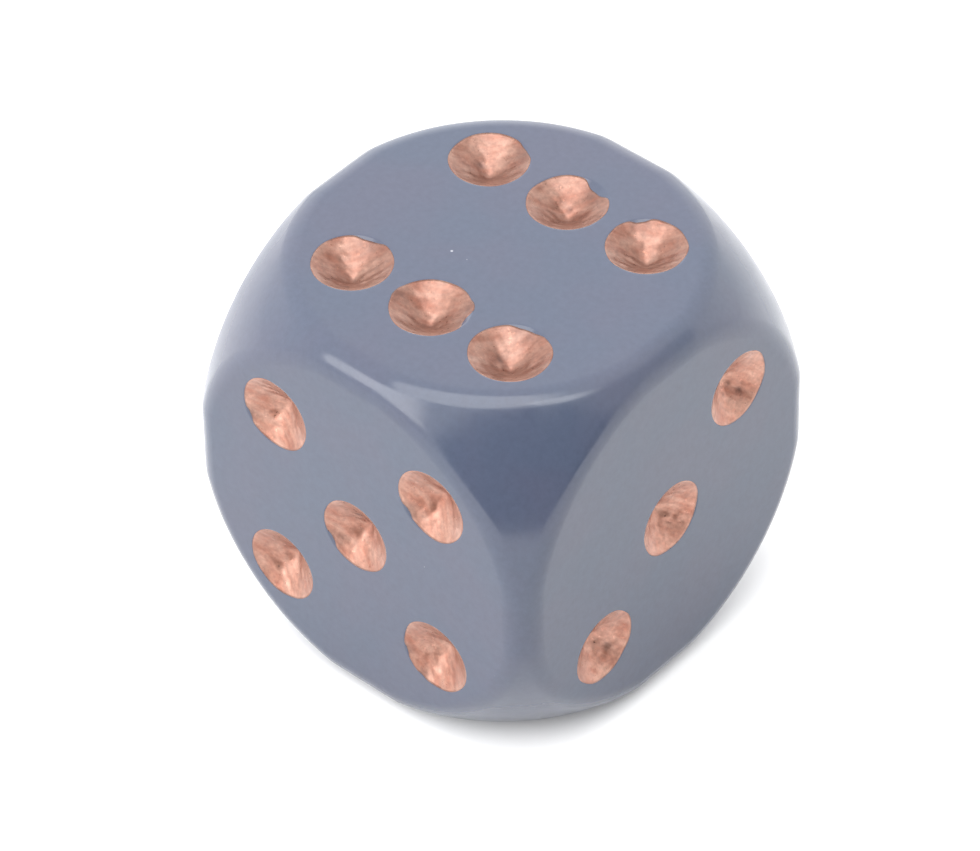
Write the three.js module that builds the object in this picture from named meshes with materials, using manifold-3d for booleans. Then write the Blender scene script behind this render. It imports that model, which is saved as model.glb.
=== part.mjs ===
// Six-sided gaming die: a moulded plastic cube with rounded corners, and conical pips lined with metallic paint.
// Millimetres, +Z up. The die stands with its one down and its six up, and the origin is under its middle.
import * as THREE from "three";
import Module from "manifold-3d";
import { mergeGeometries, mergeVertices, toCreasedNormals } from "three/addons/utils/BufferGeometryUtils.js";

// Moulded cube: distance over the faces, width of the flat on each face, and the round between flat and corner
const EDGE = 16;
const FLAT_DIAMETER = 14.1;
const EDGE_FILLET = 1.1;

// Pip recesses: cones with their rim on the face, on a square grid of three by three places
const PIP_DIAMETER = 3;
const PIP_DEPTH = 0.98;
const PIP_PITCH = 3.7;

// Paint in a recess: a film square to the wall, run together into a small flat pool at the tip
const PAINT_THICKNESS = 0.04;
const PAINT_POOL_DIAMETER = 0.24;
const PAINT_BELOW_FACE = 0.01;
const PAINT_CLEARANCE = 0.02;

// Facets: columns around the flat of one face, rings from the flat to the neighbouring faces, sides of a pip
const COLUMNS_PER_SIDE = 12;
const ROUND_RINGS = 8;
const PIP_SIDES = 24;
const WELD = 1e-4;
const CREASE_ANGLE = THREE.MathUtils.degToRad(25);

const PLASTIC = { color: 0x868da3, roughness: 0.32, metalness: 0 };
const COPPER_PAINT = { color: 0xb98268, roughness: 0.5, metalness: 0.55 };

const HALF = EDGE / 2;
const QUARTER_TURN = Math.PI / 2;
const CORE_HALF = HALF - EDGE_FILLET;
const FLAT_RADIUS = FLAT_DIAMETER / 2;
const CORNER_RADIUS = Math.hypot(FLAT_RADIUS, CORE_HALF) + EDGE_FILLET;
const PIP_RADIUS = PIP_DIAMETER / 2;
const PIP_SLOPE = PIP_DEPTH / PIP_RADIUS;

// Places of the pips on a face, in steps of the pitch
const CENTRE = [[0, 0]];
const DIAGONAL = [[1, 1], [-1, -1]];
const OTHER_DIAGONAL = [[-1, 1], [1, -1]];
const MIDDLE_OF_ROWS = [[0, 1], [0, -1]];
const CORNERS = [...DIAGONAL, ...OTHER_DIAGONAL];

// Faces, each tipped over from the top and then turned about the upright axis; opposite faces add up to seven
const FACES = [
  { name: "six", tip: 0, turn: 0, pips: [...CORNERS, ...MIDDLE_OF_ROWS] },
  { name: "five", tip: QUARTER_TURN, turn: 0, pips: [...CORNERS, ...CENTRE] },
  { name: "three", tip: QUARTER_TURN, turn: QUARTER_TURN, pips: [...DIAGONAL, ...CENTRE] },
  { name: "two", tip: QUARTER_TURN, turn: 2 * QUARTER_TURN, pips: DIAGONAL },
  { name: "four", tip: QUARTER_TURN, turn: 3 * QUARTER_TURN, pips: CORNERS },
  { name: "one", tip: 2 * QUARTER_TURN, turn: 0, pips: CENTRE },
];

const wasm = await Module();
wasm.setup();

function toSolid(geometry) {
  const bare = new THREE.BufferGeometry();
  bare.setAttribute("position", geometry.getAttribute("position"));
  bare.setIndex(geometry.getIndex());
  const welded = mergeVertices(bare, WELD);
  const vertProperties = new Float32Array(welded.getAttribute("position").array);
  const triVerts = new Uint32Array(welded.getIndex().array);
  return new wasm.Manifold(new wasm.Mesh({ numProp: 3, vertProperties, triVerts }));
}

function toGeometry(solid) {
  const mesh = solid.getMesh();
  const geometry = new THREE.BufferGeometry();
  geometry.setAttribute("position", new THREE.BufferAttribute(new Float32Array(mesh.vertProperties), 3));
  geometry.setIndex(new THREE.BufferAttribute(new Uint32Array(mesh.triVerts), 1));
  return toCreasedNormals(geometry, CREASE_ANGLE);
}

function faceTurn(face) {
  return new THREE.Euler(face.tip, 0, face.turn, "ZYX");
}

// Point of the rounded surface beside one edge of the top face. The bearing is the angle from the middle of that
// edge, and the share runs from 0 on the flat to 1 where the neighbouring face takes over. A flat that reaches the
// straight edge turns over it in a quarter round. Elsewhere its round rim runs into the corner sphere.
function roundedPoint(bearing, share) {
  if (CORE_HALF / Math.cos(bearing) < FLAT_RADIUS) {
    const tilt = share * QUARTER_TURN / 2;
    const out = CORE_HALF + EDGE_FILLET * Math.sin(tilt);
    return new THREE.Vector3(out, CORE_HALF * Math.tan(bearing), CORE_HALF + EDGE_FILLET * Math.cos(tilt));
  }
  const tilt = share * Math.atan(1 / Math.cos(bearing));
  const onFillet = tilt < Math.atan2(FLAT_RADIUS, CORE_HALF);
  const out = onFillet ? FLAT_RADIUS + EDGE_FILLET * Math.sin(tilt) : CORNER_RADIUS * Math.sin(tilt);
  const up = onFillet ? CORE_HALF + EDGE_FILLET * Math.cos(tilt) : CORNER_RADIUS * Math.cos(tilt);
  return new THREE.Vector3(out * Math.cos(bearing), out * Math.sin(bearing), up);
}

// One sixth of the skin: the flat as a fan about its middle, and rings of quads out to the neighbouring faces
function facePanel() {
  const columns = 4 * COLUMNS_PER_SIDE;
  const positions = [0, 0, HALF];
  const index = [];
  const up = new THREE.Vector3(0, 0, 1);
  for (let ring = 0; ring <= ROUND_RINGS; ring++) {
    for (let column = 0; column < columns; column++) {
      const side = Math.floor(column / COLUMNS_PER_SIDE);
      const bearing = ((column % COLUMNS_PER_SIDE) / COLUMNS_PER_SIDE - 0.5) * QUARTER_TURN;
      const point = roundedPoint(bearing, ring / ROUND_RINGS).applyAxisAngle(up, side * QUARTER_TURN);
      positions.push(...point.toArray());
    }
  }
  const at = (ring, column) => 1 + ring * columns + (column % columns);
  for (let column = 0; column < columns; column++) {
    index.push(0, at(0, column), at(0, column + 1));
    for (let ring = 0; ring < ROUND_RINGS; ring++) {
      index.push(at(ring, column), at(ring + 1, column), at(ring + 1, column + 1));
      index.push(at(ring, column), at(ring + 1, column + 1), at(ring, column + 1));
    }
  }
  const geometry = new THREE.BufferGeometry();
  geometry.setAttribute("position", new THREE.Float32BufferAttribute(positions, 3));
  geometry.setIndex(index);
  return geometry;
}

// The cube before its pips: six panels that meet at the edges and corners
function blankSolid() {
  const panels = FACES.map((face) => {
    const turn = new THREE.Matrix4().makeRotationFromEuler(faceTurn(face));
    return facePanel().applyMatrix4(turn);
  });
  return toSolid(mergeGeometries(panels));
}

// A turned shape about the pip's own axis, given as [radius, height over the face], set on the top face
function turnedOnFace(profile, place) {
  const points = profile.map(([radius, height]) => new THREE.Vector2(radius, height));
  const geometry = new THREE.LatheGeometry(points, PIP_SIDES);
  geometry.rotateX(QUARTER_TURN);
  geometry.translate(place[0] * PIP_PITCH, place[1] * PIP_PITCH, HALF);
  return geometry;
}

// The tool that leaves a recess: its cone goes on past the face by as much as the corners are rounded
function recessTool(place) {
  const above = EDGE_FILLET;
  return turnedOnFace([[0, -PIP_DEPTH], [PIP_RADIUS + above / PIP_SLOPE, above], [0, above]], place);
}

// The paint in one recess. Its back keeps the clearance from the wall all the way up, and its front lies one
// thickness over its back, down to the pool. It is cut to the blank, as paint is wiped off flush with the face.
function paintSolid(place, blank) {
  const tipHeight = (offset) => offset * Math.hypot(1, PIP_SLOPE) - PIP_DEPTH;
  const back = tipHeight(PAINT_CLEARANCE);
  const front = tipHeight(PAINT_CLEARANCE + PAINT_THICKNESS);
  const poolRadius = PAINT_POOL_DIAMETER / 2;
  const poolHeight = front + PIP_SLOPE * poolRadius;
  const film = turnedOnFace(
    [
      [0, back],
      [(-PAINT_BELOW_FACE - back) / PIP_SLOPE, -PAINT_BELOW_FACE],
      [(-PAINT_BELOW_FACE - front) / PIP_SLOPE, -PAINT_BELOW_FACE],
      [poolRadius, poolHeight],
      [0, poolHeight],
    ],
    place,
  );
  return toSolid(film).intersect(blank);
}

function bodyMesh(blank) {
  const body = FACES.reduce((left, face) => {
    const turn = new THREE.Matrix4().makeRotationFromEuler(faceTurn(face));
    return face.pips.reduce((rest, place) => {
      return rest.subtract(toSolid(recessTool(place).applyMatrix4(turn)));
    }, left);
  }, blank);
  const mesh = new THREE.Mesh(toGeometry(body), new THREE.MeshStandardMaterial(PLASTIC));
  mesh.name = "body";
  return mesh;
}

// The paint of one face, modelled on the top face and carried to its place by the turn of the group
function facePaint(face, blank) {
  const group = new THREE.Group();
  group.rotation.copy(faceTurn(face));
  face.pips.forEach((place, number) => {
    const material = new THREE.MeshStandardMaterial(COPPER_PAINT);
    const mesh = new THREE.Mesh(toGeometry(paintSolid(place, blank)), material);
    mesh.name = `pip_paint_${face.name}_${number + 1}`;
    group.add(mesh);
  });
  return group;
}

function buildDie() {
  const blank = blankSolid();
  const die = new THREE.Group();
  die.add(bodyMesh(blank));
  FACES.forEach((face) => die.add(facePaint(face, blank)));
  die.position.z = HALF;
  const root = new THREE.Group();
  root.add(die);
  return root;
}

export default buildDie();
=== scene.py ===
"""Looks of a gaming die: the moulded cube of dusty blue-grey plastic and the copper paint in its pips.

The cube's skin and each film of paint are surfaces worked out as whole arrays, in metres, in the frame of the
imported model. The cube stands on its one, with its six up, its five to the left and its three to the right.
"""

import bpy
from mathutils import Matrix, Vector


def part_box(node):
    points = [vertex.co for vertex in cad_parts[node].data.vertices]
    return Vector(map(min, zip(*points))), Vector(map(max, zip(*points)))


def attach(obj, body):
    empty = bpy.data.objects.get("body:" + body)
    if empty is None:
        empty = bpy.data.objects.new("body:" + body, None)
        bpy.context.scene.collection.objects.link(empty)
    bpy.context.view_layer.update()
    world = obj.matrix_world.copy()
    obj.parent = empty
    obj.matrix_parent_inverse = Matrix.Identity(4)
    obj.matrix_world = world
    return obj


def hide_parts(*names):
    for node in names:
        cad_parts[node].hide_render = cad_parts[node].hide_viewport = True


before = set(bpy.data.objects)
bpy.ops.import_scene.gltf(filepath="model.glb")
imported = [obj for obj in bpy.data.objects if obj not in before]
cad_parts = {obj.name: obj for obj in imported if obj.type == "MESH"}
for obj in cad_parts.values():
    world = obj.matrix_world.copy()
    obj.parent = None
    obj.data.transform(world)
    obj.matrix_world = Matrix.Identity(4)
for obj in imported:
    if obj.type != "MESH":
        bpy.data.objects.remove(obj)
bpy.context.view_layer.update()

from collections import namedtuple

import bpy
import numpy as np
from bpy.props import FloatProperty, FloatVectorProperty, PointerProperty
from mathutils import Matrix, Vector

bl_info = {
    "name": "Gaming die",
    "version": (1, 0, 0),
    "blender": (4, 5, 0),
    "location": "View3D > Sidebar > Gaming die",
    "description": "Builds a rounded die with paint in its pips, and a plain white studio around it",
    "category": "Object",
}

MM = 0.001
QUARTER_TURN = np.pi / 2

# Turn of each face from the top: tipped forward about X, then turned about Z
FACES = {
    "six": (0, 0),
    "five": (QUARTER_TURN, 0),
    "three": (QUARTER_TURN, QUARTER_TURN),
    "two": (QUARTER_TURN, 2 * QUARTER_TURN),
    "four": (QUARTER_TURN, 3 * QUARTER_TURN),
    "one": (2 * QUARTER_TURN, 0),
}

# Painted light and shade in the copper, face by face: how strongly the copper shows on each face, darker on the top
# and the bottom and lighter on the three, standing in for how the light falls on each face
PAINTED_LIGHT_AND_SHADE_BY_FACE = {"six": 0.72, "five": 1.0, "three": 1.15, "two": 1.0, "four": 1.0, "one": 0.9}

# Fineness of the meshes
CELL_STEPS = 20
HOLE_RINGS = 9
WALL_RINGS = 6
FLAT_RINGS = 4
ROUND_RINGS = 22
FILM_COLUMNS = 96
FILM_FRONT_RINGS = 22
FILM_BACK_RINGS = 6
FLAT_MARGIN = 0.1 * MM
WELD = 1e-8

Form = namedtuple("Form", "half core flat corner fillet pip depth rim pitch")

# A place where a film's edge leaves the pip's rim: its bearing, half width and how far it falls short of the rim
Chip = namedtuple("Chip", "bearing spread short")

# A small crater in a film, measured from the middle of the pip
Pit = namedtuple("Pit", "x y radius depth")

# What the brush left in one pip: the direction of its strokes, the chips at the rim and the craters
Finish = namedtuple("Finish", "stroke chips pits")

FINISHES = {
    "pip_paint_six_1": Finish(35, [Chip(138, 13, 0.09)], [Pit(0.35, -0.2, 0.1, 0.02)]),
    "pip_paint_six_2": Finish(50, [Chip(104, 20, 0.1)], [Pit(-0.3, -0.9, 0.1, 0.02), Pit(0.45, -0.8, 0.1, 0.02)]),
    "pip_paint_six_3": Finish(40, [Chip(62, 16, 0.07)], [Pit(-0.5, 0.1, 0.12, 0.02)]),
    "pip_paint_six_4": Finish(60, [Chip(104, 22, 0.1)], [Pit(-0.5, 0.0, 0.14, 0.02)]),
    "pip_paint_six_5": Finish(45, [Chip(76, 22, 0.24)], [Pit(-0.2, 0.35, 0.1, 0.03)]),
    "pip_paint_six_6": Finish(30, [Chip(14, 13, 0.16), Chip(42, 11, -0.07), Chip(186, 13, -0.05)], []),
    "pip_paint_five_1": Finish(-50, [Chip(218, 10, 0.06)], [Pit(0.0, 0.3, 0.12, 0.03)]),
    "pip_paint_five_2": Finish(-40, [Chip(56, 8, 0.05)], []),
    "pip_paint_five_3": Finish(-20, [Chip(210, 10, 0.06)], [Pit(0.1, 0.75, 0.16, 0.02)]),
    "pip_paint_five_4": Finish(-45, [Chip(200, 9, 0.05), Chip(244, 7, 0.04)], [Pit(0.3, 0.3, 0.12, 0.02)]),
    "pip_paint_five_5": Finish(-35, [Chip(216, 12, 0.08)], [Pit(-0.38, 0.42, 0.11, 0.04)]),
    "pip_paint_three_1": Finish(-45, [Chip(165, 12, 0.06)], [Pit(0.5, -0.7, 0.14, 0.02)]),
    "pip_paint_three_2": Finish(-50, [Chip(170, 9, 0.05)], [Pit(0.6, -0.6, 0.14, 0.02)]),
    "pip_paint_three_3": Finish(-40, [Chip(160, 10, 0.05)], [Pit(-0.4, 0.5, 0.12, 0.02)]),
    "pip_paint_two_1": Finish(20, [Chip(250, 14, 0.12)], []),
    "pip_paint_two_2": Finish(-15, [Chip(20, 12, 0.1)], [Pit(0.2, 0.5, 0.12, 0.02)]),
    "pip_paint_four_1": Finish(70, [Chip(300, 16, 0.15)], []),
    "pip_paint_four_2": Finish(55, [Chip(95, 12, 0.1)], [Pit(-0.4, -0.3, 0.12, 0.02)]),
    "pip_paint_four_3": Finish(80, [Chip(190, 18, 0.12)], []),
    "pip_paint_four_4": Finish(60, [Chip(40, 12, 0.14)], []),
    "pip_paint_one_1": Finish(10, [Chip(130, 20, 0.16)], [Pit(0.5, 0.4, 0.12, 0.02)]),
}


class GAMINGDIE_PG_form(bpy.types.PropertyGroup):
    """Sizes of the cube's rounding and of its pips"""

    flat_diameter: FloatProperty(
        name="Flat diameter",
        description="Width of the round flat on each face",
        default=14.1 * MM,
        unit="LENGTH",
        precision=5,
    )
    edge_fillet: FloatProperty(
        name="Edge fillet",
        description="Radius of the round between a flat and the corners",
        default=1.1 * MM,
        unit="LENGTH",
        precision=5,
    )
    pip_diameter: FloatProperty(
        name="Pip diameter",
        description="Width of a pip on the face",
        default=3.0 * MM,
        unit="LENGTH",
        precision=5,
    )
    pip_depth: FloatProperty(
        name="Pip depth",
        description="Depth of the moulded cone under the paint",
        default=0.98 * MM,
        unit="LENGTH",
        precision=5,
    )
    rim_round: FloatProperty(
        name="Rim round",
        description="Half width of the small round on a pip's rim",
        default=0.04 * MM,
        unit="LENGTH",
        precision=5,
    )


class GAMINGDIE_PG_plastic(bpy.types.PropertyGroup):
    """Finish of the moulded plastic"""

    colour: FloatVectorProperty(
        name="Plastic",
        description="Main colour of the plastic",
        subtype="COLOR",
        default=(0.059, 0.073, 0.112),
        min=0,
        max=1,
    )
    mottle: FloatVectorProperty(
        name="Mottle",
        description="Colour that clouds the plastic here and there",
        subtype="COLOR",
        default=(0.065, 0.072, 0.110),
        min=0,
        max=1,
    )
    dust: FloatVectorProperty(
        name="Dust",
        description="Colour of the flecks of dust",
        subtype="COLOR",
        default=(0.62, 0.64, 0.68),
        min=0,
        max=1,
    )
    roughness: FloatProperty(
        name="Roughness",
        description="Roughness of the polished plastic",
        default=0.17,
        min=0,
        max=1,
    )


class GAMINGDIE_PG_paint(bpy.types.PropertyGroup):
    """Finish of the copper paint in the pips"""

    colour: FloatVectorProperty(
        name="Copper",
        description="Colour of the paint where its flakes lie flat",
        subtype="COLOR",
        default=(0.43, 0.245, 0.185),
        min=0,
        max=1,
    )
    deep: FloatVectorProperty(
        name="Deep copper",
        description="Colour of the paint between its flakes",
        subtype="COLOR",
        default=(0.28, 0.105, 0.066),
        min=0,
        max=1,
    )
    tarnish: FloatVectorProperty(
        name="Tarnish",
        description="Colour of the dark spots in the paint",
        subtype="COLOR",
        default=(0.10, 0.045, 0.035),
        min=0,
        max=1,
    )
    film: FloatProperty(
        name="Film",
        description="Thickness of the paint on the wall of a pip",
        default=0.03 * MM,
        unit="LENGTH",
        precision=5,
    )


class GAMINGDIE_PG_studio(bpy.types.PropertyGroup):
    """Floor, light and camera"""

    floor: FloatVectorProperty(
        name="Floor",
        description="Colour of the floor",
        subtype="COLOR",
        default=(0.8, 0.8, 0.8),
        min=0,
        max=1,
    )
    surround: FloatProperty(
        name="Surround",
        description="Brightness of the white walls around the die",
        default=1.85,
        min=0,
    )


def current_form(context):
    """Sizes of the die: the cube and the pitch of the pips from the frame, the rest from the panel."""
    sizes = context.scene.gamingdie_form
    low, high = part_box("body")
    places = [pip_place(name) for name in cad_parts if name.startswith("pip_paint_")]
    half = (high.x - low.x) / 2
    flat = sizes.flat_diameter / 2
    core = half - sizes.edge_fillet
    return Form(
        half=half,
        core=core,
        flat=flat,
        corner=np.hypot(flat, core) + sizes.edge_fillet,
        fillet=sizes.edge_fillet,
        pip=sizes.pip_diameter / 2,
        depth=sizes.pip_depth,
        rim=sizes.rim_round,
        pitch=max(abs(x) for _, x, _ in places),
    )


def die_centre():
    """Middle of the cube in the frame."""
    low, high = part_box("body")
    return np.array((low + high) / 2)


def quarter_turns(angle, axis):
    """Rotation by whole quarter turns, with exact zeros and ones so that neighbouring patches meet."""
    return np.round(np.array(Matrix.Rotation(angle, 3, axis)))


def face_turn(face):
    """Rotation that carries the top face to the named face: a tip about X, then a turn about Z."""
    tip, turn = FACES[face]
    return quarter_turns(turn, "Z") @ quarter_turns(tip, "X")


def pip_place(node):
    """Face of a pip, and its middle in that face's own two directions, read from the frame."""
    face = node.split("_")[2]
    low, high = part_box(node)
    local = face_turn(face).T @ (np.array((low + high) / 2) - die_centre())
    return face, local[0], local[1]


def to_frame(points, face):
    """Points made on the top face about the cube's middle, carried to the named face and into the frame."""
    return points @ face_turn(face).T + die_centre()


def soft_step(inside, width):
    """Zero below minus the width, the value itself above the width, and a parabola that joins them."""
    return np.where(
        inside > width,
        inside,
        np.where(inside < -width, 0.0, (inside + width) ** 2 / (4 * width)),
    )


def wall_height(radius, form):
    """Height of the moulded surface over the face at a distance from a pip's middle: a cone below the face,
    with its rim rounded by a parabola."""
    return -form.depth / form.pip * soft_step(form.pip - radius, form.rim)


def side_rounding(bearing, share, form):
    """Rounded surface beside one edge of the top face, about the cube's middle.

    The bearing is the angle from the middle of the edge, and the share runs from 0 on the flat to 1 at the
    neighbouring face. Where the flat reaches the straight edge, the surface is a quarter round about the core's
    edge. Elsewhere it is a ring with the fillet's radius about the flat's rim, up to the tilt at which the corner
    sphere takes over.
    """
    straight = form.core / np.cos(bearing) < form.flat
    reach = np.where(straight, QUARTER_TURN / 2, np.arctan(1 / np.cos(bearing)))
    tilt = share * reach
    ring = tilt < np.arctan2(form.flat, form.core)
    out = np.where(ring, form.flat + form.fillet * np.sin(tilt), form.corner * np.sin(tilt))
    up = np.where(ring, form.core + form.fillet * np.cos(tilt), form.corner * np.cos(tilt))
    x = np.where(straight, form.core + form.fillet * np.sin(tilt), out * np.cos(bearing))
    y = np.where(straight, form.core * np.tan(bearing), out * np.sin(bearing))
    z = np.where(straight, form.core + form.fillet * np.cos(tilt), up)
    return np.stack([x, y, z], axis=-1)


def drawn_in(points, form):
    """Points of a face, with those too near the flat's rim moved straight in towards the middle of the face."""
    reach = form.flat - FLAT_MARGIN
    radius = np.hypot(points[..., 0], points[..., 1])
    return points * (reach / np.maximum(radius, reach))[..., None]


def cell_loop(middle, form):
    """Boundary of a pip's cell as one closed loop: a square of one pitch in even steps, drawn in to the flat."""
    t = np.linspace(-0.5, 0.5, CELL_STEPS + 1)[:-1] * form.pitch
    end = np.full_like(t, form.pitch / 2)
    sides = [(t, -end), (end, t), (-t, end), (-end, -t)]
    loop = np.concatenate([np.stack(side, axis=-1) for side in sides])
    return drawn_in(middle + np.concatenate([loop, loop[:1]]), form)


def cell_patch(middle, inner, form):
    """Flat part of a cell: straight lines from a circle about its middle to its boundary."""
    loop = cell_loop(middle, form)
    angle = np.linspace(-0.75 * np.pi, 1.25 * np.pi, len(loop))
    circle = middle + inner * np.stack([np.cos(angle), np.sin(angle)], axis=-1)
    s = np.linspace(0, 1, HOLE_RINGS + 1)[:, None, None]
    plane = (1 - s) * circle + s * loop
    height = np.full(plane.shape[:2] + (1,), form.half)
    return np.concatenate([plane, height], axis=-1)


def wall_patch(middle, form):
    """Moulded wall of a pip: the cone's profile carried round the pip's middle."""
    wall = np.linspace(0, form.pip - form.rim, WALL_RINGS)
    rim = np.linspace(form.pip - form.rim, form.pip + form.rim, 5)[1:]
    radius = np.concatenate([wall, rim])[:, None]
    angle = np.linspace(-0.75 * np.pi, 1.25 * np.pi, 4 * CELL_STEPS + 1)[None, :]
    x = middle[0] + radius * np.cos(angle)
    y = middle[1] + radius * np.sin(angle)
    z = form.half + wall_height(radius, form) + 0 * angle
    return np.stack([x, y, z], axis=-1)


def margin_patches(form):
    """Rest of the face beyond the nine cells, one side at a time: straight lines from the cells to the flat's
    round rim, then the rounding out to the neighbouring face."""
    steps = 3 * CELL_STEPS
    t = np.linspace(-1.5, 1.5, steps + 1) * form.pitch
    inner = drawn_in(np.stack([np.full_like(t, 1.5 * form.pitch), t], axis=-1), form)
    inner = np.concatenate([inner, np.full((steps + 1, 1), form.half)], axis=-1)
    bearing = np.linspace(-QUARTER_TURN / 2, QUARTER_TURN / 2, steps + 1)
    rim = side_rounding(bearing, np.zeros_like(bearing), form)
    s = np.linspace(0, 1, FLAT_RINGS + 1)[:, None, None]
    share = np.linspace(0, 1, ROUND_RINGS + 1)[:, None]
    rounding = side_rounding(bearing[None, :] + 0 * share, share, form)
    patch = np.concatenate([(1 - s) * inner + s * rim, rounding[1:]])
    return [patch @ quarter_turns(k * QUARTER_TURN, "Z").T for k in range(4)]


def face_patches(face, form):
    """All patches of one face of the cube, on the top face about the cube's middle."""
    pips = {tuple(np.round(np.array(place[1:]) / form.pitch).astype(int)) for place in face_pips(face)}
    patches = margin_patches(form)
    for cell in [(i, j) for i in (-1, 0, 1) for j in (-1, 0, 1)]:
        middle = np.array(cell) * form.pitch
        if cell in pips:
            patches.append(wall_patch(middle, form))
            patches.append(cell_patch(middle, form.pip + form.rim, form))
        else:
            patches.append(cell_patch(middle, 0.0, form))
    return patches


def face_pips(face):
    """Places of the pips on one face, from the frame."""
    names = [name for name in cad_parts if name.startswith(f"pip_paint_{face}_")]
    return [pip_place(name) for name in names]


def grid_triangles(rows, columns):
    """Two triangles for each cell of a grid, with rows going outwards and columns anticlockwise."""
    index = np.arange(rows * columns).reshape(rows, columns)
    a, b, c, d = index[:-1, :-1], index[1:, :-1], index[1:, 1:], index[:-1, 1:]
    lower = np.stack([a, b, c], axis=-1).reshape(-1, 3)
    upper = np.stack([a, c, d], axis=-1).reshape(-1, 3)
    return np.concatenate([lower, upper])


def weld(patches):
    """One skin from many grids: points closer than the weld become one, and collapsed triangles go."""
    points = np.concatenate([patch.reshape(-1, 3) for patch in patches])
    sizes = [patch.shape[0] * patch.shape[1] for patch in patches]
    starts = np.concatenate([[0], np.cumsum(sizes)[:-1]])
    triangles = np.concatenate(
        [grid_triangles(*patch.shape[:2]) + start for patch, start in zip(patches, starts)]
    )
    _, first, merged = np.unique(np.round(points / WELD), axis=0, return_index=True, return_inverse=True)
    triangles = merged.reshape(-1)[triangles]
    a, b, c = triangles.T
    return points[first], triangles[(a != b) & (b != c) & (a != c)], first


def mesh_piece(name, points, triangles):
    """A smooth-shaded mesh object at the origin, filled straight from arrays."""
    mesh = bpy.data.meshes.new(name)
    mesh.vertices.add(len(points))
    mesh.vertices.foreach_set("co", points.astype(np.float32).ravel())
    mesh.loops.add(3 * len(triangles))
    mesh.loops.foreach_set("vertex_index", triangles.astype(np.int32).ravel())
    mesh.polygons.add(len(triangles))
    mesh.polygons.foreach_set("loop_start", np.arange(0, 3 * len(triangles), 3, dtype=np.int32))
    mesh.polygons.foreach_set("use_smooth", np.ones(len(triangles), dtype=bool))
    mesh.update(calc_edges=True)
    mesh.validate()
    piece = bpy.data.objects.new(name, mesh)
    bpy.context.scene.collection.objects.link(piece)
    return piece


def point_values(piece, name, values):
    """A number for each point of a piece, for its material to read."""
    attribute = piece.data.attributes.new(name, "FLOAT", "POINT")
    attribute.data.foreach_set("value", values.astype(np.float32))


def film_edge(angle, finish, form, rng):
    """Distance of a film's edge from the pip's middle at each bearing: the rim, a slight waver of seven waves,
    and a smooth dip for each chip."""
    edge = np.full_like(angle, form.pip - 0.01 * MM)
    for wave in range(2, 9):
        edge += 0.012 * MM * rng.normal() * np.sin(wave * angle + rng.uniform(0, 2 * np.pi)) / np.sqrt(wave)
    for chip in finish.chips:
        away = (angle - np.radians(chip.bearing) + np.pi) % (2 * np.pi) - np.pi
        edge -= chip.short * MM * np.exp(-((away / np.radians(chip.spread)) ** 4))
    return edge


def brush_relief(x, y, finish, rng):
    """Height that the brush left: long waves across the strokes, short lumps in all directions, and craters."""
    stroke = np.radians(finish.stroke)
    height = np.zeros_like(x)
    for _ in range(7):
        lean = stroke + QUARTER_TURN + rng.normal() * 0.25
        length = rng.uniform(0.28, 0.8) * MM
        phase = rng.uniform(0, 2 * np.pi)
        height += 0.004 * MM * np.sin(2 * np.pi * (x * np.cos(lean) + y * np.sin(lean)) / length + phase)
    for _ in range(9):
        lean = rng.uniform(0, 2 * np.pi)
        length = rng.uniform(0.3, 0.9) * MM
        phase = rng.uniform(0, 2 * np.pi)
        height += 0.004 * MM * np.sin(2 * np.pi * (x * np.cos(lean) + y * np.sin(lean)) / length + phase)
    for pit in finish.pits:
        away = np.hypot(x - pit.x * MM, y - pit.y * MM) / (pit.radius * MM)
        height -= pit.depth * MM * np.exp(-(away**2))
    return height


def film_points(middle, finish, form, film, rng):
    """One film of paint as a closed skin, on the top face about the cube's middle.

    The front goes out from the pip's middle to the film's edge and the back returns along the moulded wall. The
    front lies one film over a cone whose tip is filled by a small bowl, and thins out towards its edge.
    """
    angle = np.linspace(0, 2 * np.pi, FILM_COLUMNS + 1)
    edge = film_edge(angle, finish, form, rng)
    edge[-1] = edge[0]
    out = np.linspace(0, 1, FILM_FRONT_RINGS + 1)[:, None]
    radius = out * edge
    x, y = radius * np.cos(angle), radius * np.sin(angle)
    bowl = 0.13 * MM
    filled = np.hypot(radius, bowl) - 0.15 * bowl * radius / form.pip
    taper = 1 - out**6
    relief = brush_relief(x, y, finish, rng) * taper * np.minimum(1, 3 * out + 0.2)
    thickness = film * (0.35 + 0.65 * taper)
    front = np.maximum(wall_height(filled, form) + thickness + relief, wall_height(radius, form) + 0.3 * thickness)
    back_radius = np.linspace(1, 0, FILM_BACK_RINGS + 1)[:, None] * edge
    back = wall_height(back_radius, form) + 0.003 * MM
    top = np.stack([x, y, front], axis=-1)
    under = np.stack([back_radius * np.cos(angle), back_radius * np.sin(angle), back], axis=-1)
    points = np.concatenate([top, under])
    brush = np.radians(finish.stroke)
    along = points[..., 0] * np.cos(brush) + points[..., 1] * np.sin(brush)
    across = points[..., 1] * np.cos(brush) - points[..., 0] * np.sin(brush)
    stroke_map = np.stack([along, across], axis=-1) / MM + rng.uniform(0, 50, 2)
    points[..., :2] += middle
    points[..., 2] += form.half
    return points, stroke_map


def tarnish_values(points, middle, finish, form):
    """Darkness of the paint at each point: full in each crater, and a little along each chip."""
    x, y = points[..., 0] - middle[0], points[..., 1] - middle[1]
    dark = np.zeros_like(x)
    for pit in finish.pits:
        away = np.hypot(x - pit.x * MM, y - pit.y * MM) / (pit.radius * MM)
        dark = np.maximum(dark, np.exp(-(away**2)))
    for chip in finish.chips:
        cx, cy = form.pip * np.cos(np.radians(chip.bearing)), form.pip * np.sin(np.radians(chip.bearing))
        away = np.hypot(x - cx, y - cy) / (form.pip * np.radians(chip.spread) + 0.1 * MM)
        dark = np.maximum(dark, 0.6 * np.exp(-(away**4)))
    return dark


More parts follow.
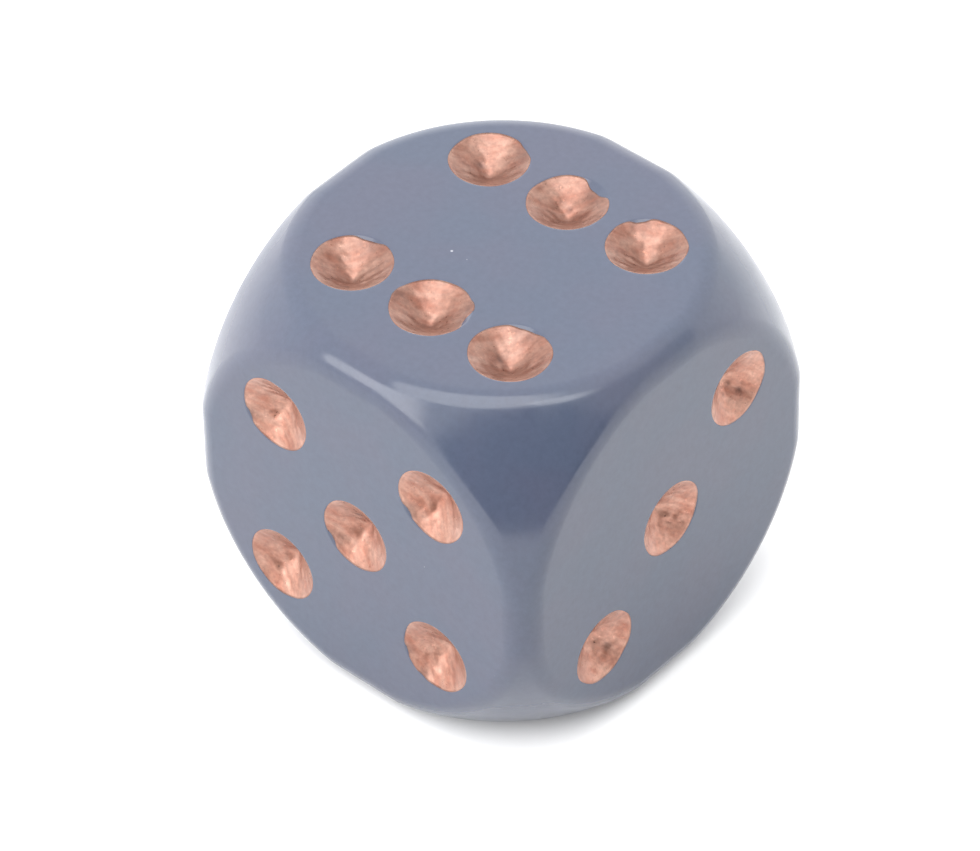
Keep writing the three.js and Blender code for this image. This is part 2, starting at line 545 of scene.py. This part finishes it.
def stroke_uv(piece, stroke_map):
    """A UV map that runs along and across the strokes of the brush, in millimetres."""
    corners = np.zeros(len(piece.data.loops), dtype=np.int32)
    piece.data.loops.foreach_get("vertex_index", corners)
    layer = piece.data.uv_layers.new(name="strokes")
    layer.data.foreach_set("uv", stroke_map[corners].astype(np.float32).ravel())


def add_node(tree, kind, inputs=None, **settings):
    """A node with its settings made and its inputs given as values or as sockets to link from."""
    node = tree.nodes.new(kind)
    for key, value in settings.items():
        setattr(node, key, value)
    for socket, value in (inputs or {}).items():
        if isinstance(value, bpy.types.NodeSocket):
            tree.links.new(value, node.inputs[socket])
        else:
            node.inputs[socket].default_value = value
    return node


def new_group(name, inputs, outputs):
    """An empty shader node group with named sockets, and its input and output nodes."""
    tree = bpy.data.node_groups.new(name, "ShaderNodeTree")
    for label, kind, default in inputs:
        socket = tree.interface.new_socket(name=label, in_out="INPUT", socket_type=kind)
        if default is not None:
            socket.default_value = default
    for label, kind in outputs:
        tree.interface.new_socket(name=label, in_out="OUTPUT", socket_type=kind)
    return tree, tree.nodes.new("NodeGroupInput").outputs, tree.nodes.new("NodeGroupOutput").inputs


def math(tree, operation, first, second=0.0, third=0.0, clamp=False):
    """Result of one sum on two or three numbers."""
    node = add_node(tree, "ShaderNodeMath", {0: first, 1: second, 2: third}, operation=operation, use_clamp=clamp)
    return node.outputs[0]


def ramp(tree, value, low, high, to_low=0.0, to_high=1.0):
    """A value carried smoothly from one range to another."""
    sockets = {"Value": value, "From Min": low, "From Max": high, "To Min": to_low, "To Max": to_high}
    return add_node(tree, "ShaderNodeMapRange", sockets, interpolation_type="SMOOTHSTEP").outputs["Result"]


def blend_colours(tree, share, first, second, kind="MIX"):
    """One colour laid over another by a share."""
    node = add_node(tree, "ShaderNodeMix", {0: share, 6: first, 7: second}, data_type="RGBA", blend_type=kind)
    return node.outputs[2]


def opaque(colour):
    """A colour with its alpha."""
    return (*colour, 1.0)


def cloud_group():
    """Soft clouds: two octaves of noise spread to the full range from 0 to 1."""
    tree, given, made = new_group(
        "Clouds",
        [("Vector", "NodeSocketVector", None), ("Per Metre", "NodeSocketFloat", 300.0)],
        [("Value", "NodeSocketFloat")],
    )
    noise = add_node(
        tree,
        "ShaderNodeTexNoise",
        {"Vector": given["Vector"], "Scale": given["Per Metre"], "Detail": 2.0, "Roughness": 0.55},
    )
    spread = ramp(tree, noise.outputs["Fac"], 0.3, 0.7)
    tree.links.new(spread, made["Value"])
    return tree


def fleck_group():
    """Scattered flecks: round spots at a few of the cells of a Voronoi pattern, sized by a share of the cell."""
    tree, given, made = new_group(
        "Flecks",
        [
            ("Vector", "NodeSocketVector", None),
            ("Per Metre", "NodeSocketFloat", 1000.0),
            ("Share", "NodeSocketFloat", 0.1),
            ("Size", "NodeSocketFloat", 0.1),
        ],
        [("Mask", "NodeSocketFloat")],
    )
    cells = add_node(tree, "ShaderNodeTexVoronoi", {"Vector": given["Vector"], "Scale": given["Per Metre"]})
    chance = add_node(tree, "ShaderNodeSeparateColor", {"Color": cells.outputs["Color"]})
    chosen = math(tree, "LESS_THAN", chance.outputs["Red"], given["Share"])
    size = math(tree, "MULTIPLY", given["Size"], math(tree, "ADD", chance.outputs["Green"], 0.4))
    spot = math(tree, "DIVIDE", cells.outputs["Distance"], size)
    inside = ramp(tree, spot, 0.6, 1.0, 1.0, 0.0)
    tree.links.new(math(tree, "MULTIPLY", inside, chosen), made["Mask"])
    return tree


def grain_group():
    """Fine grain for colour and bump: sharp noise about its middle, weighed by a strength."""
    tree, given, made = new_group(
        "Grain",
        [
            ("Vector", "NodeSocketVector", None),
            ("Per Metre", "NodeSocketFloat", 5000.0),
            ("Strength", "NodeSocketFloat", 0.1),
        ],
        [("Value", "NodeSocketFloat")],
    )
    noise = add_node(
        tree,
        "ShaderNodeTexNoise",
        {"Vector": given["Vector"], "Scale": given["Per Metre"], "Detail": 3.0, "Roughness": 0.65},
    )
    centred = math(tree, "SUBTRACT", noise.outputs["Fac"], 0.5)
    weighed = math(tree, "MULTIPLY_ADD", centred, given["Strength"], 1.0)
    tree.links.new(weighed, made["Value"])
    return tree


def group_node(tree, name, inputs):
    """A node that places one of the shared groups."""
    maker = {"Clouds": cloud_group, "Flecks": fleck_group, "Grain": grain_group}[name]
    node = tree.nodes.new("ShaderNodeGroup")
    node.node_tree = bpy.data.node_groups.get(name) or maker()
    for socket, value in inputs.items():
        if isinstance(value, bpy.types.NodeSocket):
            tree.links.new(value, node.inputs[socket])
        else:
            node.inputs[socket].default_value = value
    return node.outputs[0]


def new_material(name):
    """A material with an empty tree, its shader and its output."""
    material = bpy.data.materials.new(name)
    material.use_nodes = True
    tree = material.node_tree
    tree.nodes.clear()
    shader = tree.nodes.new("ShaderNodeBsdfPrincipled")
    add_node(tree, "ShaderNodeOutputMaterial", {"Surface": shader.outputs["BSDF"]})
    return material, tree, shader


def plastic_material(look):
    """Moulded plastic: a clouded blue-grey with fine grain, a polish that varies a little, and flecks of dust."""
    material, tree, shader = new_material("dusty_blue_plastic")
    place = tree.nodes.new("ShaderNodeTexCoord").outputs["Object"]
    clouds = group_node(tree, "Clouds", {"Vector": place, "Per Metre": 260.0})
    wear = group_node(tree, "Clouds", {"Vector": place, "Per Metre": 900.0})
    grain = group_node(tree, "Grain", {"Vector": place, "Per Metre": 4200.0, "Strength": 0.25})
    dust = group_node(tree, "Flecks", {"Vector": place, "Per Metre": 620.0, "Share": 0.08, "Size": 0.06})
    lint = group_node(tree, "Flecks", {"Vector": place, "Per Metre": 1400.0, "Share": 0.03, "Size": 0.09})
    flecks = math(tree, "MAXIMUM", dust, math(tree, "MULTIPLY", lint, 0.5))
    base = blend_colours(tree, clouds, opaque(look.colour), opaque(look.mottle))
    grained = add_node(tree, "ShaderNodeVectorMath", {0: base, 3: grain}, operation="SCALE").outputs[0]
    dusty = blend_colours(tree, math(tree, "MULTIPLY", flecks, 0.8), grained, opaque(look.dust))
    tree.links.new(dusty, shader.inputs["Base Color"])
    polish = ramp(tree, wear, 0.0, 1.0, look.roughness - 0.03, look.roughness + 0.04)
    rough = math(tree, "MAXIMUM", polish, math(tree, "MULTIPLY", flecks, 0.8))
    tree.links.new(rough, shader.inputs["Roughness"])
    height = math(tree, "ADD", math(tree, "MULTIPLY", grain, 0.35), flecks)
    bump = add_node(tree, "ShaderNodeBump", {"Strength": 0.08, "Distance": 0.01 * MM, "Height": height})
    tree.links.new(bump.outputs["Normal"], shader.inputs["Normal"])
    shader.inputs["IOR"].default_value = 1.5
    return material


def paint_material(look):
    """Copper paint: metal flakes in streaks along the brush, deeper colour between them, tarnished craters, and
    painted light and shade that darkens or lightens the copper face by face.
    """
    material, tree, shader = new_material("copper_pip_paint")
    place = tree.nodes.new("ShaderNodeTexCoord").outputs["Object"]
    strokes = add_node(tree, "ShaderNodeUVMap", uv_map="strokes").outputs["UV"]
    stretched = add_node(tree, "ShaderNodeMapping", {"Vector": strokes, "Scale": (1.0, 3.2, 1.0)}).outputs[0]
    streaks = group_node(tree, "Clouds", {"Vector": stretched, "Per Metre": 1.0})
    patches = group_node(tree, "Clouds", {"Vector": place, "Per Metre": 1300.0})
    flakes = group_node(tree, "Grain", {"Vector": place, "Per Metre": 6500.0, "Strength": 1.0})
    glints = group_node(tree, "Flecks", {"Vector": place, "Per Metre": 9000.0, "Share": 0.12, "Size": 0.5})
    share = math(tree, "MULTIPLY_ADD", streaks, 0.5, math(tree, "MULTIPLY", patches, 0.4), clamp=True)
    base = blend_colours(tree, share, opaque(look.deep), opaque(look.colour))
    # Painted light and shade: the copper of each face darkened or lightened for how the light falls on it, times the
    # flake grain
    painted_light_and_shade = add_node(tree, "ShaderNodeAttribute", attribute_name="painted_light_and_shade").outputs["Fac"]
    flakes_and_painted_shading = math(tree, "MULTIPLY", flakes, painted_light_and_shade)
    flaked_and_painted_shading = add_node(tree, "ShaderNodeVectorMath", {0: base, 3: flakes_and_painted_shading}, operation="SCALE").outputs[0]
    dark = add_node(tree, "ShaderNodeAttribute", attribute_name="tarnish").outputs["Fac"]
    grime = group_node(tree, "Clouds", {"Vector": place, "Per Metre": 3200.0})
    spots = math(tree, "MULTIPLY", dark, math(tree, "MULTIPLY_ADD", grime, 0.6, 0.4), clamp=True)
    tree.links.new(blend_colours(tree, spots, flaked_and_painted_shading, opaque(look.tarnish)), shader.inputs["Base Color"])
    rough = math(tree, "MULTIPLY_ADD", glints, -0.15, 0.42)
    tree.links.new(rough, shader.inputs["Roughness"])
    metal = math(tree, "MULTIPLY_ADD", glints, 0.15, 0.8, clamp=True)
    tree.links.new(metal, shader.inputs["Metallic"])
    shader.inputs["Coat Weight"].default_value = 0.5
    shader.inputs["Coat Roughness"].default_value = 0.3
    height = math(tree, "ADD", math(tree, "MULTIPLY", flakes, 0.5), math(tree, "MULTIPLY", streaks, 0.6))
    bump = add_node(tree, "ShaderNodeBump", {"Strength": 0.5, "Distance": 0.012 * MM, "Height": height})
    tree.links.new(bump.outputs["Normal"], shader.inputs["Normal"])
    return material


def floor_material(colour):
    """White card: an even matt white with a faint grain."""
    material, tree, shader = new_material("white_card")
    place = tree.nodes.new("ShaderNodeTexCoord").outputs["Object"]
    grain = group_node(tree, "Grain", {"Vector": place, "Per Metre": 700.0, "Strength": 0.02})
    toned = add_node(tree, "ShaderNodeVectorMath", {0: tuple(colour), 3: grain}, operation="SCALE").outputs[0]
    tree.links.new(toned, shader.inputs["Base Color"])
    shader.inputs["Roughness"].default_value = 0.9
    shader.inputs["Specular IOR Level"].default_value = 0.1
    shader.inputs["Emission Color"].default_value = (1, 1, 1, 1)
    shader.inputs["Emission Strength"].default_value = FLOOR_GLOW
    return material


class GAMINGDIE_OT_cube(bpy.types.Operator):
    """Build the moulded cube with its rounded corners and conical pips"""

    bl_idname = "gamingdie.cube"
    bl_label = "Moulded cube"

    def execute(self, context):
        form = current_form(context)
        patches = []
        for face in FACES:
            patches += [to_frame(patch, face) for patch in face_patches(face, form)]
        points, triangles, _ = weld(patches)
        cube = mesh_piece("moulded_cube", points, triangles)
        cube.data.materials.append(plastic_material(context.scene.gamingdie_plastic))
        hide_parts("body")
        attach(cube, "root")
        return {"FINISHED"}


class GAMINGDIE_OT_pip_paint(bpy.types.Operator):
    """Build the copper paint in every pip, each film with its own strokes, chips and craters"""

    bl_idname = "gamingdie.pip_paint"
    bl_label = "Pip paint"

    def execute(self, context):
        form = current_form(context)
        look = context.scene.gamingdie_paint
        material = paint_material(look)
        for number, (node, finish) in enumerate(FINISHES.items()):
            face, x, y = pip_place(node)
            middle = np.array([x, y])
            rng = np.random.default_rng(number)
            film, stroke_map = film_points(middle, finish, form, look.film, rng)
            dark = tarnish_values(film, middle, finish, form)
            points, triangles, first = weld([to_frame(film, face)])
            piece = mesh_piece(node.replace("pip_paint", "copper"), points, triangles)
            point_values(piece, "tarnish", dark.ravel()[first])
            # Painted light and shade: one brightness for the whole film, set by its face for how the light falls on
            # it
            point_values(piece, "painted_light_and_shade", np.full(len(points), PAINTED_LIGHT_AND_SHADE_BY_FACE[face]))
            stroke_uv(piece, stroke_map.reshape(-1, 2)[first])
            piece.data.materials.append(material)
            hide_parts(node)
            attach(piece, "root")
        return {"FINISHED"}


# Softboxes: angle from straight up, turn from the camera's side, half width, brightness and distance
Softbox = namedtuple("Softbox", "name tilt turn spread level")
SOFTBOXES = [
    Softbox("overhead", 16, -38, 24, 3.0),
    Softbox("front_right", 31, 39, 10, 4.2),
    Softbox("front_left", 58, -62, 19, 4.3),
]
SOFTBOX_DISTANCE = 0.5

# Light that the lit floor adds of its own, as the photograph's overexposed backdrop does
FLOOR_GLOW = 0.15

# Camera that sees the die as the photograph does
CAMERA_AZIMUTH = 41.78
CAMERA_ELEVATION = 42.77
CAMERA_ROLL = -1.06
CAMERA_DISTANCE = 221 * MM
CAMERA_SIDE = 0.444 * MM
CAMERA_RISE = 0.202 * MM
CAMERA_LENS = 223.2
SENSOR_WIDTH = 36.0


def direction(tilt, turn):
    """Unit vector at an angle from straight up, at a turn from the camera's side."""
    tilt, turn = np.radians(tilt), np.radians(turn + CAMERA_AZIMUTH)
    return Vector((np.sin(tilt) * np.sin(turn), -np.sin(tilt) * np.cos(turn), np.cos(tilt)))


def add_floor(look):
    """A round white floor, a hair under the die."""
    radius, drop = 1.5, 0.02 * MM
    angle = np.linspace(0, 2 * np.pi, 97)[None, :]
    ring = np.array([0.0, 0.05, 0.3, radius])[:, None]
    disc = np.stack([ring * np.cos(angle), ring * np.sin(angle), 0 * ring * angle - drop], axis=-1)
    points, triangles, _ = weld([disc])
    floor = mesh_piece("white_floor", points, triangles)
    floor.data.materials.append(floor_material(look.floor))


def add_softboxes(centre):
    """Round soft lights that face the die, sized and powered for their spread and brightness seen from it."""
    for box in SOFTBOXES:
        light = bpy.data.lights.new(box.name, "AREA")
        light.shape = "DISK"
        radius = SOFTBOX_DISTANCE * np.tan(np.radians(box.spread))
        light.size = 2 * radius
        light.energy = box.level * (np.pi * radius) ** 2
        lamp = bpy.data.objects.new(box.name, light)
        away = direction(box.tilt, box.turn)
        lamp.location = Vector(centre) + away * SOFTBOX_DISTANCE
        lamp.rotation_euler = away.to_track_quat("Z", "Y").to_euler()
        bpy.context.scene.collection.objects.link(lamp)


def near_direction(tree, look_way, tilt, turn, inner, outer):
    """Mask of the part of the surround within an angle of a direction, faded from the inner to the outer angle."""
    toward = add_node(tree, "ShaderNodeVectorMath", {0: look_way, 1: direction(tilt, turn)}, operation="DOT_PRODUCT")
    return ramp(tree, toward.outputs["Value"], np.cos(np.radians(outer)), np.cos(np.radians(inner)))


def add_surround(look):
    """White walls around the die, brighter behind it, and open and dark where the camera stands."""
    world = bpy.data.worlds.new("white_tent")
    bpy.context.scene.world = world
    world.use_nodes = True
    tree = world.node_tree
    tree.nodes.clear()
    look_way = tree.nodes.new("ShaderNodeTexCoord").outputs["Generated"]
    behind = near_direction(tree, look_way, 78, 180, 10, 34)
    open_front = near_direction(tree, look_way, 90, 10, 46, 52)
    dim_side = near_direction(tree, look_way, 56, 70, 15, 35)
    walls = math(tree, "MULTIPLY_ADD", behind, 0.5, look.surround)
    lit = math(tree, "MULTIPLY", walls, math(tree, "SUBTRACT", 1.0, open_front))
    lit = math(tree, "MULTIPLY", lit, math(tree, "MULTIPLY_ADD", dim_side, -0.5, 1.0))
    seen = tree.nodes.new("ShaderNodeLightPath").outputs["Is Camera Ray"]
    level = add_node(tree, "ShaderNodeMix", {0: seen, 2: lit, 3: 1.2}).outputs[0]
    background = add_node(tree, "ShaderNodeBackground", {"Color": (1, 1, 1, 1), "Strength": level})
    add_node(tree, "ShaderNodeOutputWorld", {"Surface": background.outputs["Background"]})


def add_camera(centre):
    """The camera: back from the die along its azimuth and elevation, rolled, and moved a little sideways."""
    back = direction(90 - CAMERA_ELEVATION, 0)
    level = direction(90, 90)
    roll = Matrix.Rotation(np.radians(CAMERA_ROLL), 3, back)
    across = roll @ level
    upward = roll @ back.cross(level)
    camera = bpy.data.objects.new("camera", bpy.data.cameras.new("camera"))
    camera.data.lens = CAMERA_LENS
    camera.data.sensor_width = SENSOR_WIDTH
    camera.data.clip_start = 0.01
    place = Vector(centre) + back * CAMERA_DISTANCE - across * CAMERA_SIDE - upward * CAMERA_RISE
    turn = Matrix((across, upward, back)).transposed().to_4x4()
    camera.matrix_world = Matrix.Translation(place) @ turn
    bpy.context.scene.collection.objects.link(camera)
    bpy.context.scene.camera = camera


class GAMINGDIE_OT_studio(bpy.types.Operator):
    """Build the white floor, the soft light and the camera"""

    bl_idname = "gamingdie.studio"
    bl_label = "Studio"

    def execute(self, context):
        look = context.scene.gamingdie_studio
        add_floor(look)
        add_surround(look)
        add_softboxes(die_centre())
        add_camera(die_centre())
        context.scene.view_settings.view_transform = "Standard"
        return {"FINISHED"}


class GAMINGDIE_PT_panel(bpy.types.Panel):
    """Sizes, colours and the operators that build the die"""

    bl_idname = "GAMINGDIE_PT_panel"
    bl_label = "Gaming die"
    bl_space_type = "VIEW_3D"
    bl_region_type = "UI"
    bl_category = "Gaming die"

    def draw(self, context):
        scene = context.scene
        for group in (scene.gamingdie_form, scene.gamingdie_plastic, scene.gamingdie_paint, scene.gamingdie_studio):
            box = self.layout.box()
            for name in group.__annotations__:
                box.prop(group, name)
        for operator in OPERATORS:
            self.layout.operator(operator.bl_idname)


PROPERTY_GROUPS = {
    "gamingdie_form": GAMINGDIE_PG_form,
    "gamingdie_plastic": GAMINGDIE_PG_plastic,
    "gamingdie_paint": GAMINGDIE_PG_paint,
    "gamingdie_studio": GAMINGDIE_PG_studio,
}
OPERATORS = (GAMINGDIE_OT_studio, GAMINGDIE_OT_cube, GAMINGDIE_OT_pip_paint)


def register():
    for name, group in PROPERTY_GROUPS.items():
        bpy.utils.register_class(group)
        setattr(bpy.types.Scene, name, PointerProperty(type=group))
    for operator in OPERATORS:
        bpy.utils.register_class(operator)
    bpy.utils.register_class(GAMINGDIE_PT_panel)


def unregister():
    bpy.utils.unregister_class(GAMINGDIE_PT_panel)
    for operator in reversed(OPERATORS):
        bpy.utils.unregister_class(operator)
    for name, group in PROPERTY_GROUPS.items():
        delattr(bpy.types.Scene, name)
        bpy.utils.unregister_class(group)


def main():
    register()
    bpy.ops.gamingdie.studio()
    bpy.ops.gamingdie.cube()
    bpy.ops.gamingdie.pip_paint()


if __name__ == "__main__":
    main()
